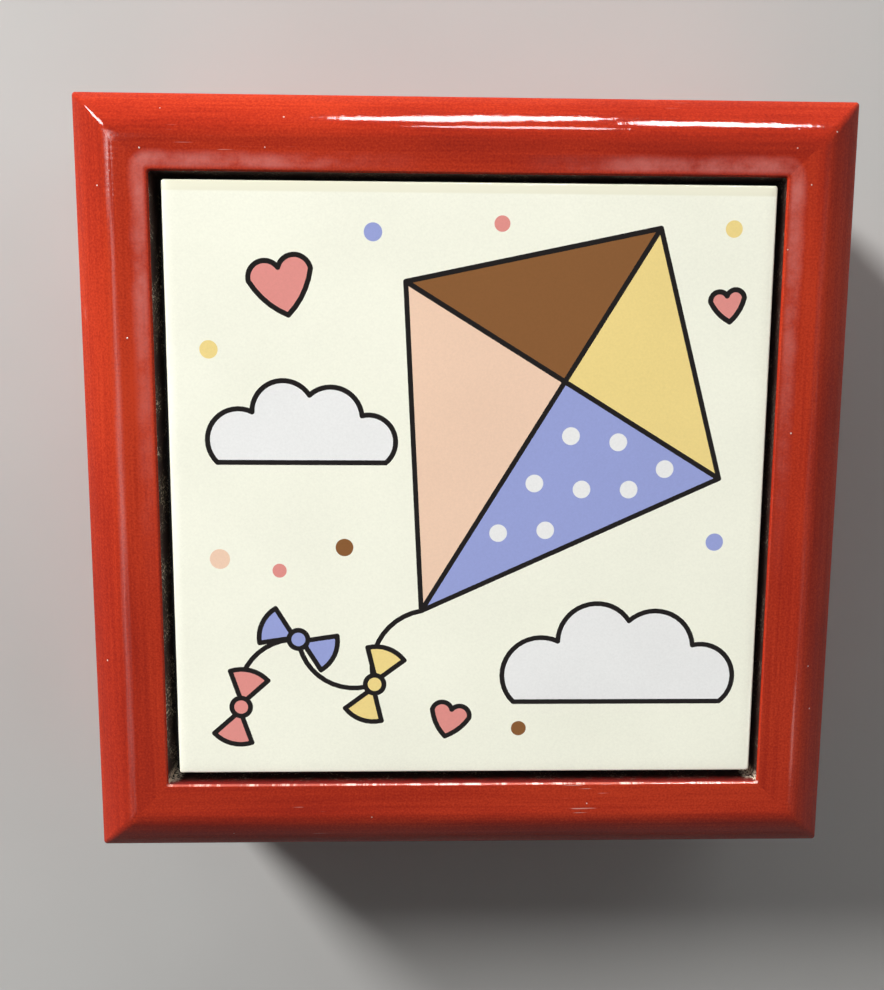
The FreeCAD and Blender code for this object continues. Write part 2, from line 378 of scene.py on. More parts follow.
def painted_glint_in(tree, y, around):
    """Where a painted highlight lies: near-white dashes along the opening's front edge, in place of
    glints of light.
    """
    edge = between(tree, around, glint_band_width, glint_band_width * glint_band_core_share)
    front = between(tree, y, opening_corner - opening_half, -opening_half)
    dashes = between(tree, noise_of(tree, (420, 60, 60), detail=4, roughness=0.7), 0.47, 0.62)
    return product(tree, edge, front, weighted(tree, (dashes, 0.75), start=0.12))


def scratches_in(tree, grain):
    """Where handling has left fine scratches along the grain."""
    handled = between(tree, noise_of(tree, 42, detail=1), 0.58, 0.66)
    lines = between(tree, noise_of(tree, along_grain(grain, 110, 2400), detail=1), 0.69, 0.74)
    return product(tree, lines, handled, scratch_strength_share)


def dust_in(tree):
    """Where specks of dust are caught in the lacquer."""
    settled = between(tree, noise_of(tree, 60, detail=1), 0.44, 0.5)
    return product(tree, specks(tree, 190, 0.038), settled)


def wood_with_painted_light(tree, grain):
    """The stained wood's colour, with a painted sheen round the lid's opening and a painted highlight
    along its front edge.
    """
    broad = noise_of(tree, along_grain(grain, 16, 60))
    streaks = noise_of(tree, along_grain(grain, 30, 1500), detail=5, roughness=0.6, distortion=0.3)
    speckle = noise_of(tree, 2600, detail=2)
    tone = weighted(tree, (broad, 0.42), (streaks, 0.24), (speckle, 0.34))
    wood = ramp(tree, tone, [(0.38, dark_red), (0.5, middle_red), (0.62, bright_red)])
    place = axes_of(tree)
    x, y = [maths(tree, "ABSOLUTE", place[key]) for key in "XY"]
    over = [maths(tree, "MAXIMUM", maths(tree, "SUBTRACT", side, opening_half), 0) for side in (x, y)]
    beyond = add(tree, "CombineXYZ", {"X": over[0], "Y": over[1]}).outputs["Vector"]
    around = vector_maths(tree, "LENGTH", beyond)
    lid_only = between(tree, place["Z"], rim_z + support_band, rim_z + parting_ease)
    # The painted sheen and the painted highlight lie on the lid only.
    painted_sheen = product(tree, painted_sheen_in(tree, x, place["Y"], around), lid_only)
    painted_glint = product(tree, painted_glint_in(tree, place["Y"], around), lid_only)
    return mixed(tree, painted_glint, mixed(tree, painted_sheen, wood, painted_sheen_colour), painted_glint_colour)


def lacquer_relief(tree, grain, dust):
    """The lacquer's surface: ripples of three widths, and the dust."""
    ripple = noise_of(tree, along_grain(grain, 500, 1400))
    comb = noise_of(tree, along_grain(grain, 1300, 180), detail=2)
    peel = noise_of(tree, along_grain(grain, 60, 160), detail=2)
    surface = relief(tree, ripple, ripple_depth)
    surface = relief(tree, comb, comb_depth, surface)
    surface = relief(tree, peel, peel_depth, surface)
    return relief(tree, dust, dust_depth, surface)


def lacquer(grain):
    """Red stained wood under a gloss coat, with fine ripples, specks of dust and signs of wear."""
    material, tree = new_material(f"red_lacquer_grain_{grain}")
    dust = dust_in(tree)
    marks = maths(tree, "MAXIMUM", dust, scratches_in(tree, grain))
    colour = mixed(tree, marks, wood_with_painted_light(tree, grain), dust_colour)
    surface = lacquer_relief(tree, grain, dust)
    return shaded(
        material, base_color=colour, normal=surface, roughness=0.6, specular_ior_level=0.0,
        coat_weight=0.4, coat_roughness=0.05, coat_ior=1.4, coat_normal=surface,
    )


def grains_and_glints_in(tree, place):
    """Where light specks show on the opening's walls: grains, most in the front corners, and denser
    specks on the left wall that are painted glints of light on the rough paint.
    """
    left_wall = between(tree, place["X"], opening_ease - opening_half, -opening_half)
    sideways = maths(tree, "ABSOLUTE", place["X"])
    corner = between(tree, sideways, opening_half - dusty_reach, opening_half - dusty_reach / 2)
    front_end = between(tree, place["Y"], dusty_reach - opening_half, dusty_reach / 2 - opening_half)
    patchy = between(tree, noise_of(tree, 160, detail=2), 0.42, 0.6)
    # The left wall's denser specks are painted glints.
    dust_and_glints = product(tree, patchy, weighted(tree, (left_wall, 0.75), start=0.25))
    crumbs = noise_of(tree, 1900, detail=2, roughness=0.6)
    strewn = product(tree, between(tree, crumbs, 0.57, 0.62), dust_and_glints)
    caked = product(tree, corner, front_end, between(tree, crumbs, 0.44, 0.5))
    return maths(tree, "MAXIMUM", strewn, caked)


def lacquer_run_in(tree, place):
    """Where the lacquer runs over the upper edge of the opening's walls, furthest at the front."""
    front_wall = between(tree, place["Y"], opening_ease - opening_half, -opening_half)
    run = weighted(tree, (front_wall, front_lacquer_run), start=side_lacquer_run)
    below = maths(tree, "DIVIDE", maths(tree, "SUBTRACT", top_z - opening_ease, place["Z"]), run)
    ragged = maths(tree, "ADD", below, noise_of(tree, 900))
    return between(tree, ragged, 1.6, 0.7)


def recess_paint():
    """Rough black paint on the walls of the tile's opening."""
    material, tree = new_material("recess_paint")
    place = axes_of(tree)
    black = mixed(tree, grains_and_glints_in(tree, place), recess_black, grain_and_glint_colour)
    colour = mixed(tree, lacquer_run_in(tree, place), black, lip_red)
    surface = relief(tree, noise_of(tree, 2600, detail=4, roughness=0.65), board_depth)
    return shaded(material, base_color=colour, normal=surface, roughness=0.5, specular_ior_level=0.4)


def raw_wood():
    """Bare wood in the hinge mortises."""
    material, tree = new_material("raw_wood")
    streaks = noise_of(tree, along_grain("x", 40, 1600), detail=5, roughness=0.6)
    colour = ramp(tree, streaks, [(0.35, raw_wood_dark), (0.62, raw_wood_colour)])
    return shaded(material, base_color=colour, normal=relief(tree, streaks, board_depth), roughness=0.75)


def backing_board():
    """Brown fibre board, painted black on the face that is turned to the tile."""
    material, tree = new_material("fibre_board")
    fibres = noise_of(tree, (700, 1100, 900), detail=6, roughness=0.7, distortion=1.2)
    brown = ramp(tree, fibres, [(0.36, board_dark), (0.62, board_colour)])
    facing = add(tree, "SeparateXYZ", {"Vector": add(tree, "TexCoord").outputs["Normal"]}).outputs["Z"]
    above = between(tree, axes_of(tree)["Z"], rim_z, rim_z + opening_ease)
    painted = product(tree, between(tree, facing, 0.4, 0.6), above)
    colour = mixed(tree, painted, brown, board_black)
    return shaded(material, base_color=colour, normal=relief(tree, fibres, board_depth), roughness=0.8)


def glaze(name, colour):
    """A fired colour under clear glaze, with a faint ink grain, and a band of painted shade along the
    rear edge, where the rear rail's shadow falls.
    """
    material, tree = new_material(f"glaze_{name}")
    grain, clouds = noise_of(tree, 2400, roughness=0.7), noise_of(tree, 40, detail=2)
    tone = weighted(tree, (grain, 0.6), (clouds, 0.4))
    shade = (*[channel * glaze_shade_share for channel in colour[:3]], 1.0)
    light = (*[min(1.0, channel * glaze_light_share) for channel in colour[:3]], 1.0)
    fired = ramp(tree, tone, [(0.3, shade), (0.7, light)])
    # Painted shade: the glaze is darker in a band along the rear edge, where the rear rail's shadow
    # falls.
    rear_shade_y = tile_high.y - rear_shade_width
    bare = between(tree, axes_of(tree)["Y"], rear_shade_y - rear_shade_fade, rear_shade_y + rear_shade_fade)
    glaze_with_shade = mixed(tree, bare, fired, rear_shade_colour)
    surface = relief(tree, noise_of(tree, 260, detail=2), glaze_depth)
    return shaded(material, base_color=glaze_with_shade, normal=surface, roughness=0.07, specular_ior_level=0.3)


def bisque():
    """The tile's unglazed body."""
    material, tree = new_material("bisque")
    grit = noise_of(tree, 1800, detail=5, roughness=0.7)
    colour = ramp(tree, grit, [(0.35, bisque_shade), (0.65, bisque_colour)])
    return shaded(material, base_color=colour, normal=relief(tree, grit, board_depth), roughness=0.9)


def foam():
    """White closed-cell foam."""
    material, tree = new_material("foam")
    cells = cells_of(tree, 3500)
    colour = ramp(tree, cells, [(0.1, foam_shade), (0.5, foam_colour)])
    return shaded(material, base_color=colour, normal=relief(tree, cells, board_depth), roughness=0.85)


def felt(name):
    """Black pressed felt: tangled fibres, with a soft sheen."""
    material, tree = new_material(name)
    tangle = noise_of(tree, 1500, detail=7, roughness=0.75, distortion=2.5)
    tone = weighted(tree, (tangle, 0.7), (noise_of(tree, 180), 0.3))
    colour = ramp(tree, tone, [(0.35, felt_dark), (0.65, felt_colour)])
    return shaded(
        material, base_color=colour, normal=relief(tree, tangle, felt_depth), roughness=0.95,
        specular_ior_level=0.15, sheen_weight=0.35, sheen_roughness=0.45,
    )


def brass():
    """Satin brass, brushed along the hinge, with some tarnish."""
    material, tree = new_material("satin_brass")
    patches = between(tree, noise_of(tree, 320, detail=4, roughness=0.65), 0.48, 0.72)
    colour = mixed(tree, patches, brass_colour, brass_tarnish)
    rough = weighted(tree, (patches, 0.2), start=0.26)
    surface = relief(tree, noise_of(tree, (120, 4000, 4000), detail=4, roughness=0.6), brass_depth)
    return shaded(material, base_color=colour, normal=surface, roughness=rough, metallic=1.0)


def seen(tree):
    """1 for the rays that the camera sends out, and for those that go on from mirrors."""
    path = add(tree, "LightPath").outputs
    return maths(tree, "MAXIMUM", path["Is Camera Ray"], path["Is Glossy Ray"])


def pale_floor():
    """A plain pale floor, which looks like the surround further out."""
    material, tree = new_material("pale_floor")
    colour = ramp(tree, noise_of(tree, 6, detail=4), [(0.4, floor_shade), (0.6, floor_colour)])
    shaded(material, base_color=colour, roughness=0.9, specular_ior_level=0.1)
    near = tree.nodes["Principled BSDF"].outputs["BSDF"]
    away = vector_maths(tree, "LENGTH", place_of(tree))
    far = product(tree, between(tree, away, sweep_start, sweep_end), seen(tree))
    surround = add(tree, "Emission", {"Strength": surround_level}).outputs["Emission"]
    surface = add(tree, "MixShader", {0: far, 1: near, 2: surround}).outputs["Shader"]
    tree.links.new(surface, tree.nodes["Material Output"].inputs["Surface"])
    return material


# Mesh helpers

def arc(centre, radius, first, last, steps):
    """Points of an arc, between two angles in degrees."""
    angles = [math.radians(first + (last - first) * step / steps) for step in range(steps + 1)]
    return [(centre[0] + radius * math.cos(a), centre[1] + radius * math.sin(a)) for a in angles]


def square_to(tilt):
    """The (out, up) direction square to a surface that is tilted from level."""
    return Vector((math.sin(math.radians(tilt)), math.cos(math.radians(tilt))))


def turned(vector, angle):
    """A flat vector turned by an angle in radians."""
    return Matrix.Rotation(angle, 2) @ vector


def square_ring(out, corner):
    """A square about the Z axis with round corners. It starts at a corner's middle, at -X -Y.

    Each side has as many points as the others, so one side is a fourth of the list.
    """
    inner = out - corner
    points = []
    for turn in range(4):
        start = 225 + 90 * turn
        near, far = [turned(Vector((x, -inner)), math.radians(90 * turn)) for x in (-inner, inner)]
        points += arc(near, corner, start, start + 45, corner_steps)
        points += arc(far, corner, start + 45, start + 90, corner_steps)[:-1]
    return points


def side_of_ring(ring, index):
    """One side of a ring, from mitre to mitre: front, right, rear and left, counted from 0."""
    count = len(ring) // 4
    shifted = ring[index * count:] + ring[:index * count]
    return shifted[:count + 1]


def new_object(name, data):
    """A new object in the scene."""
    thing = bpy.data.objects.new(name, data)
    bpy.context.scene.collection.objects.link(thing)
    return thing


def mesh_object(name, bm, materials):
    """Makes a mesh that is built into an object in the scene."""
    bmesh.ops.recalc_face_normals(bm, faces=bm.faces[:])
    mesh = bpy.data.meshes.new(name)
    bm.to_mesh(mesh)
    bm.free()
    for material in materials:
        mesh.materials.append(material)
    return new_object(name, mesh)


def new_piece(name, bm, materials, body):
    """Makes a mesh into a piece of the object that rides on a body."""
    piece = mesh_object(name, bm, materials)
    smooth(piece.data)
    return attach(piece, body)


def smooth(mesh):
    """Shades a mesh smooth, apart from its sharp edges."""
    mesh.shade_smooth()
    mesh.set_sharp_from_angle(angle=math.radians(smooth_angle))


def bridge(bm, first, second, slot=0, closed=True):
    """Faces between two rows of as many points."""
    pairs = list(zip(first, first[1:], second[1:], second))
    if closed:
        pairs.append((first[-1], first[0], second[0], second[-1]))
    for corners in pairs:
        bm.faces.new(corners).material_index = slot


# Woodwork

def lid_moulding():
    """The lid's moulding, from its upright side to its flat: a nose, a long slope and a shoulder."""
    shoulder_end, slope_end = 90 - shoulder_end_angle, 90 - slope_end_angle
    shoulder_sine, slope_sine = square_to(shoulder_end_angle)[0], square_to(slope_end_angle)[0]
    slope_run = moulding_width - shoulder_radius * shoulder_sine - nose_radius * (1 - slope_sine)
    slope_radius = slope_run / (slope_sine - shoulder_sine)
    shoulder_centre = Vector((case_half - moulding_width, top_z - shoulder_radius))
    slope_centre = shoulder_centre + square_to(shoulder_end_angle) * (shoulder_radius - slope_radius)
    nose_centre = slope_centre + square_to(slope_end_angle) * (slope_radius - nose_radius)
    edge = arc(nose_centre, nose_radius, 0, slope_end, nose_steps)
    edge += arc(slope_centre, slope_radius, slope_end, shoulder_end, slope_steps)[1:]
    return edge + arc(shoulder_centre, shoulder_radius, shoulder_end, 90, shoulder_steps)[1:]


def worn_lip():
    """The edge of the tile's opening, from the flat to its wall: a narrow slope with round ends."""
    rise = opening_ease / math.tan(math.radians(lip_tilt))
    upper_turn = lip_radius * math.tan(math.radians(lip_tilt / 2))
    lower_turn = lip_radius * math.tan(math.radians((90 - lip_tilt) / 2))
    upper_centre = (opening_half + rise + upper_turn, top_z - lip_radius)
    lower_centre = (opening_half + lip_radius, top_z - opening_ease - lower_turn)
    lip = arc(upper_centre, lip_radius, 90, 90 + lip_tilt, arc_steps)
    return lip + arc(lower_centre, lip_radius, 90 + lip_tilt, 180, arc_steps)


def eased_edge(up, ease):
    """The eased lower edge of an upright side, with a narrow band of its faces at both ends."""
    below = (case_half - ease - support_band, up)
    beside = (case_half, up + ease + support_band)
    return [below, *arc((case_half - ease, up + ease), ease, -90, 0, arc_steps), beside]


def lid_section():
    """A lid rail's outline as (out, up, corner radius), and the slot of the band from each point on."""
    moulding = lid_moulding()
    lip = worn_lip()
    outside = eased_edge(rim_z, parting_ease)
    outside += [(case_half, moulding[0][1] - support_band), *moulding]
    outside += [(case_half - moulding_width - support_band, top_z)]
    inside = [(lip[0][0] + support_band, top_z), *lip]
    section = [(inside_half, rim_z, square_corner)]
    section += [(out, up, corner_ease + crease_share * (case_half - out)) for out, up in outside]
    section += [(out, up, opening_corner + out - opening_half) for out, up in inside]
    slots = [lacquer_slot] * len(section)
    section += [(opening_half, lip[-1][1] - support_band, opening_corner)]
    section += [(opening_half, ledge_z, opening_corner), (inside_half, ledge_z, square_corner)]
    return section, slots + [recess_slot, recess_slot, lacquer_slot]


def base_section():
    """A base wall's outline, as for a lid rail. The floor panel sits in its rebate."""
    outside = eased_edge(wall_bottom_z, bottom_ease)
    outside += [(out, 2 * rim_z - up) for out, up in reversed(eased_edge(rim_z, parting_ease))]
    inside = [(inside_half, rim_z), (inside_half, floor_z)]
    inside += [(rebate_half, floor_z), (rebate_half, wall_bottom_z)]
    section = [(out, up, square_corner) for out, up in inside]
    section += [(out, up, corner_ease) for out, up in outside]
    return section, [lacquer_slot] * len(section)


def mitred_side(section, slots, index):
    """One side of a frame: its section swept from mitre to mitre, and capped."""
    bm = bmesh.new()
    rows = []
    for out, up, corner in section:
        line = side_of_ring(square_ring(out, corner), index)
        rows.append([bm.verts.new((x, y, up)) for x, y in line])
    for row, after, slot in zip(rows, rows[1:] + rows[:1], slots):
        bridge(bm, row, after, slot, closed=False)
    bm.faces.new([row[0] for row in rows])
    bm.faces.new([row[-1] for row in rows])
    return bm


def cut_stop_bevel(bm, up):
    """Planes off the rear edge next to the rim, on the lid (up is 1) or on the base (up is -1)."""
    depth = case_half - axis_y
    stop_angle = math.radians((lid_open_angle + stop_slack_angle) / 2)
    slope = depth * math.tan(stop_angle) / (depth + bevel_set_back)
    apex = Vector((0, axis_y - bevel_set_back, rim_z))
    normal = Vector((0, -slope, up)).normalized()
    geometry = bm.verts[:] + bm.edges[:] + bm.faces[:]
    cut = bmesh.ops.bisect_plane(bm, geom=geometry, plane_co=apex, plane_no=normal, clear_inner=True)
    edges = [part for part in cut["geom_cut"] if isinstance(part, bmesh.types.BMEdge)]
    bmesh.ops.edgeloop_fill(bm, edges=edges)


def mortise_cutter(leaf, up, material):
    """The seat of a hinge leaf and its barrel, as an object to cut with."""
    low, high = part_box(leaf)
    floor = -leaf_seat_depth
    edge = math.sqrt(barrel_recess_radius ** 2 - leaf_seat_depth ** 2)
    dip = math.degrees(math.atan2(leaf_seat_depth, edge))
    front = low.y - mortise_clearance
    back = axis_y + cutter_overrun
    outline = [(front, cutter_overrun), (front, floor)]
    outline += arc((axis_y, 0), barrel_recess_radius, 180 + dip, 360 - dip, 2 * arc_steps)
    outline += [(back, floor), (back, cutter_overrun)]
    bm = bmesh.new()
    ends = (low.x - mortise_clearance, high.x + mortise_clearance)
    rows = [[bm.verts.new((x, y, rim_z + up * -z)) for y, z in outline] for x in ends]
    bridge(bm, *rows)
    for row in rows:
        bm.faces.new(row)
    return mesh_object("cutter", bm, [material])


def cut_with(piece, cutter):
    """Cuts one object out of a piece, and removes the cutter."""
    modifier = piece.modifiers.new("cut", "BOOLEAN")
    modifier.object = cutter
    modifier.operation = "DIFFERENCE"
    modifier.solver = "EXACT"
    modifier.material_mode = "TRANSFER"
    depsgraph = bpy.context.evaluated_depsgraph_get()
    mesh = bpy.data.meshes.new_from_object(piece.evaluated_get(depsgraph))
    piece.modifiers.clear()
    piece.data = mesh
    bpy.data.objects.remove(cutter)
    smooth(mesh)


def woodwork(finishes, recess, bare):
    """The four lid rails and the four base walls, each a piece of its own."""
    parts = (
        ("lid", "rail", lid_section(), 1),
        ("base", "wall", base_section(), -1),
    )
    for body, kind, (section, slots), up in parts:
        for index, side in enumerate(("front", "right", "rear", "left")):
            bm = mitred_side(section, slots, index)
            if side != "front":
                cut_stop_bevel(bm, up)
            grain = "x" if side in ("front", "rear") else "y"
            piece = new_piece(f"{side}_{kind}_lacquered", bm, [finishes[grain], recess], body)
            if side == "rear":
                for hinge in ("left", "right"):
                    cut_with(piece, mortise_cutter(f"{hinge}_hinge_{body}_leaf", up, bare))
            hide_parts(f"{body}_{side}_{kind}")


# The print on the tile: a kite among clouds. Places are shares of the tile's half side from its middle.
# A corner is (x, y, bulge), and a bulge of 1 makes the stretch to the next corner a half circle.

Layer = namedtuple("Layer", "path closed fill line")

line_share = 0.017
kite_top_shares = (0.62, 0.86)
kite_end_shares = (-0.16, -0.42)
kite_cross_share = 0.39
kite_cross_half_share = 0.62
tail_shares = [(-0.16, -0.42, 0.45), (-0.32, -0.68, -0.5), (-0.58, -0.52, 0.5), (-0.78, -0.76, 0)]
bow_turns = [(70, "yellow"), (-25, "periwinkle"), (75, "pink")]
bow_size_share = 0.115
bow_wing_shares = [(0.12, 0, 0), (1.0, -0.58, 0.3), (1.0, 0.58, 0)]
bow_knot_share = 0.28
heart_shares = [(0, -1, 0.16), (0.94, 0.2, 0.8), (0, 0.42, 0.8), (-0.94, 0.2, 0.16)]
heart_places_shares = [(-0.62, 0.68, 0.11, 12), (-0.06, -0.8, 0.07, -14), (0.85, 0.62, 0.06, 8)]
cloud_shares = [
    (-1.0, -0.4, 0), (1.0, -0.4, 0.8), (0.72, 0.16, 0.62), (0.1, 0.4, 0.75), (-0.58, 0.2, 0.85),
]
cloud_places_shares = [(-0.56, 0.2, 0.28), (0.52, -0.6, 0.36)]
spot_places_shares = [
    (0.34, 0.18), (0.5, 0.16), (0.66, 0.07), (0.22, 0.02),
    (0.38, 0.0), (0.54, 0.0), (0.1, -0.15), (0.26, -0.14),
]
spot_size_share = 0.03
confetti_shares = [
    (-0.32, 0.84, 0.03, "periwinkle"),
    (-0.86, 0.46, 0.03, "yellow"),
    (-0.42, -0.2, 0.03, "brown"),
    (-0.84, -0.24, 0.034, "peach"),
    (0.84, -0.18, 0.03, "periwinkle"),
    (0.1, 0.87, 0.026, "pink"),
    (0.86, 0.86, 0.028, "yellow"),
    (0.18, -0.84, 0.026, "brown"),
    (-0.64, -0.28, 0.024, "pink"),
]


def placed(corners, place, size, degrees=0):
    """The corners of a motif, scaled, turned and moved to its place."""
    angle = math.radians(degrees)
    moved = [Vector(place) + turned(Vector(corner[:2]) * size, angle) for corner in corners]
    return [(*point, corner[2]) for point, corner in zip(moved, corners)]


def bulged_path(corners, closed=True):
    """The points of a path, with an arc where a corner has a bulge."""
    following = corners[1:] + corners[:1] if closed else corners[1:]
    path = []
    for corner, after in zip(corners, following):
        start, end, bulge = Vector(corner[:2]), Vector(after[:2]), corner[2]
        path.append(start)
        if bulge == 0:
            continue
        chord = end - start
        sweep = 4 * math.atan(bulge)
        centre = (start + end) / 2 + Vector((-chord.y, chord.x)) * (1 - bulge ** 2) / (4 * bulge)
        steps = math.ceil(abs(math.degrees(sweep)) / print_arc_step)
        path += [centre + turned(start - centre, sweep * step / steps) for step in range(1, steps)]
    return path if closed else path + [Vector(corners[-1][:2])]


def offset_loop(path, distance):
    """A closed path moved to its right, with the corners that open there rounded."""
    moved = []
    for before, point, after in zip(path[-1:] + path[:-1], path, path[1:] + path[:1]):
        first = (point - before).normalized()
        second = (after - point).normalized()
        turn = math.atan2(first.cross(second), first.dot(second))
        if first.dot(second) < fold_cosine:
            turn = abs(turn)
        normal = Vector((first.y, -first.x))
        if turn * distance > 0:
            steps = max(1, math.ceil(math.degrees(abs(turn)) / print_arc_step))
            turns = [turn * step / steps for step in range(steps + 1)]
            moved += [point + turned(normal, angle) * distance for angle in turns]
        else:
            mitre = normal + Vector((second.y, -second.x))
            moved.append(point + mitre * (2 * distance / mitre.length_squared))
    return moved


def shape(corners, fill, line=line_share):
    """A closed motif with a fill and a dark line round it."""
    return Layer(bulged_path(corners), True, fill, line)


def dot(place, size, fill, line=0):
    """A round motif."""
    return shape(placed([(-1, 0, 1), (1, 0, 1)], place, size), fill, line)


def kite():
    """Four panels in four colours, spots on one of them, and a tail with bows."""
    top, end = Vector(kite_top_shares), Vector(kite_end_shares)
    middle = top.lerp(end, kite_cross_share)
    spine = end - top
    across = Vector((-spine.y, spine.x)).normalized() * kite_cross_half_share
    left, right = middle - across, middle + across
    panels = (
        ((top, left, middle), "brown"),
        ((top, middle, right), "yellow"),
        ((middle, left, end), "peach"),
        ((middle, end, right), "periwinkle"),
    )
    layers = [Layer(bulged_path(tail_shares, closed=False), False, None, line_share)]
    layers += [shape([(*corner, 0) for corner in corners], fill) for corners, fill in panels]
    layers += [dot(place, spot_size_share, "white") for place in spot_places_shares]
    for (x, y, _), (degrees, fill) in zip(tail_shares[1:], bow_turns):
        for flip in (0, 180):
            layers.append(shape(placed(bow_wing_shares, (x, y), bow_size_share, degrees + flip), fill))
        layers.append(dot((x, y), bow_size_share * bow_knot_share, fill, line_share))
    return layers


def print_layers():
    """Every motif of the print, from the lowest to the topmost."""
    layers = [shape(placed(cloud_shares, (x, y), size), "white") for x, y, size in cloud_places_shares]
    layers += kite()
    for x, y, size, degrees in heart_places_shares:
        layers.append(shape(placed(heart_shares, (x, y), size, degrees), "pink"))
    layers += [dot((x, y), size, fill) for x, y, size, fill in confetti_shares]
    return layers


def layer_edges(layer):
    """The closed lines along which a motif's colours change."""
    if not layer.closed:
        return [offset_loop(layer.path + layer.path[-2:0:-1], layer.line / 2)]
    if layer.line == 0:
        return [layer.path]
    return [offset_loop(layer.path, layer.line / 2), offset_loop(layer.path, -layer.line / 2)]


def distances(points, layer):
    """How far each point is from a motif's path. It is negative inside a closed one."""
    path = np.array([tuple(point) for point in layer.path])
    starts, ends = (path, np.roll(path, -1, axis=0)) if layer.closed else (path[:-1], path[1:])
    along = ends - starts
    reach = points[:, None, :] - starts[None, :, :]
    share = np.clip((reach * along).sum(2) / (along ** 2).sum(1), 0, 1)
    gaps = np.linalg.norm(reach - share[:, :, None] * along, axis=2).min(1)
    if not layer.closed:
        return gaps
    above = starts[None, :, 1] > points[:, None, 1]
    above_end = ends[None, :, 1] > points[:, None, 1]
    rise = np.where(along[:, 1] == 0, 1, along[:, 1])
    crossing_x = starts[:, 0] + (points[:, None, 1] - starts[None, :, 1]) * along[:, 0] / rise
    crossings = (above != above_end) & (points[:, None, 0] < crossing_x)
    return np.where(crossings.sum(1) % 2 == 1, -gaps, gaps)


def printed_face(boundary):
    """The flat of the tile, cut up along the print's lines: points, triangles and their slots.

    The boundary and all that comes back are in shares of the tile's half side.
    """
    layers = print_layers()
    loops = [boundary] + [edge for layer in layers for edge in layer_edges(layer)]
    corners = []
    edges = []
    for loop in loops:
        first = len(corners)
        corners += [Vector(point) for point in loop]
        edges += [(first + i, first + (i + 1) % len(loop)) for i in range(len(loop))]
    points, _, triangles, *_ = delaunay_2d_cdt(corners, edges, [], 0, print_tolerance_share)
    places = np.array([tuple(point) for point in points])
    middles = places[np.array(triangles)].mean(1)
    slots = np.full(len(triangles), glaze_slots["ivory"])
    for layer in layers:
        gaps = distances(middles, layer)
        slots[gaps < layer.line / 2] = glaze_slots["outline"]
        if layer.fill:
            slots[gaps < -layer.line / 2] = glaze_slots[layer.fill]
    return points, triangles, slots


def cushioned_edge():
    """The tile's upper edge as (out, up) points: a tight turn out of its side, then a flat curve."""
    tight, flat = tile_edge_radius, tile_cushion_radius
    run = tile_cushion_width - tight
    rise = math.sqrt((flat - tight) ** 2 - run ** 2)
    meet = math.degrees(math.atan2(rise, run))
    flat_z = tile_high.z - flat
    edge = arc((tile_half - tight, flat_z + rise), tight, 0, meet, nose_steps)
    return edge + arc((tile_half - tile_cushion_width, flat_z), flat, meet, 90, slope_steps)[1:]


def tile_rows():
    """The tile from its back to its flat: (out, up, corner radius, slot of the band that follows)."""
    ivory_slot = glaze_slots["ivory"]
    edge = cushioned_edge()
    rows = [
        (tile_half - tile_back_bevel, tile_low.z, tile_corner, bisque_slot),
        (tile_half, tile_low.z + tile_back_bevel, tile_corner, bisque_slot),
        (tile_half, tile_low.z + tile_bisque_height, tile_corner, ivory_slot),
        (tile_half, edge[0][1] - support_band, tile_corner, ivory_slot),
    ]
    for out, up in edge:
        inwards = (tile_half - out) / tile_cushion_width
        rows.append((out, up, tile_corner + (tile_flat_corner - tile_corner) * inwards, ivory_slot))
    flat_out = tile_half - tile_cushion_width
    rows.append((flat_out - support_band, tile_high.z, tile_flat_corner, ivory_slot))
    return rows


def tile(materials, body_material):
    """The glazed tile: bevelled back, upright sides, a cushioned edge and the printed flat."""
    rows = tile_rows()
    bm = bmesh.new()
    rings = []
    for out, up, corner, _ in rows:
        ring = square_ring(out, corner)
        rings.append([bm.verts.new((tile_centre.x + x, tile_centre.y + y, up)) for x, y in ring])
    bm.faces.new(rings[0]).material_index = bisque_slot
    for ring, after, (*_, slot) in zip(rings, rings[1:], rows):
        bridge(bm, ring, after, slot)
    out, _, corner, _ = rows[-1]
    boundary = [(x / tile_half, y / tile_half) for x, y in square_ring(out, corner)]
    points, triangles, slots = printed_face(boundary)
    flat = [
        bm.verts.new((tile_centre.x + x * tile_half, tile_centre.y + y * tile_half, tile_high.z))
        for x, y in points
    ]
    for triangle, slot in zip(triangles, slots):
        bm.faces.new([flat[i] for i in triangle]).material_index = int(slot)
    bmesh.ops.remove_doubles(bm, verts=bm.verts[:], dist=weld_distance)
    piece = new_piece("printed_tile", bm, [*materials, body_material], "lid")
    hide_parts("ceramic_tile")
    return piece


# Felt and foam

Sheet = namedtuple("Sheet", "name node body facing held slot rests_on")


def edge_places(length):
    """Places across a sheet: close together on its rounded edges, and evenly spaced between them."""
    turns = [math.radians(90 * step / arc_steps) for step in range(arc_steps)]
    edge = [felt_edge_radius * (1 - math.cos(turn)) for turn in turns]
    steps = math.ceil((length - 2 * felt_edge_radius) / felt_grid_step)
    step = (length - 2 * felt_edge_radius) / steps
    inner = [felt_edge_radius + step * i for i in range(steps + 1)]
    return edge + inner + [length - place for place in reversed(edge)]


def edge_drop(place, length):
    """How far a rounded edge lies below a sheet's face."""
    inwards = felt_edge_radius - min(place, length - place)
    if inwards <= 0:
        return 0
    return felt_edge_radius - math.sqrt(felt_edge_radius ** 2 - inwards ** 2)


def uneven(place, spacing):
    """Smooth noise from about 0 to 1, with waves as long as the spacing."""
    return 0.5 + 0.5 * noise.noise(place / spacing)


def sheet_axes(facing):
    """The axis that a sheet faces along, and the two axes of its plane."""
    axis = max(range(3), key=lambda i: abs(facing[i]))
    first, second = (axis + 1) % 3, (axis + 2) % 3
    return (axis, first, second) if facing[axis] > 0 else (axis, second, first)


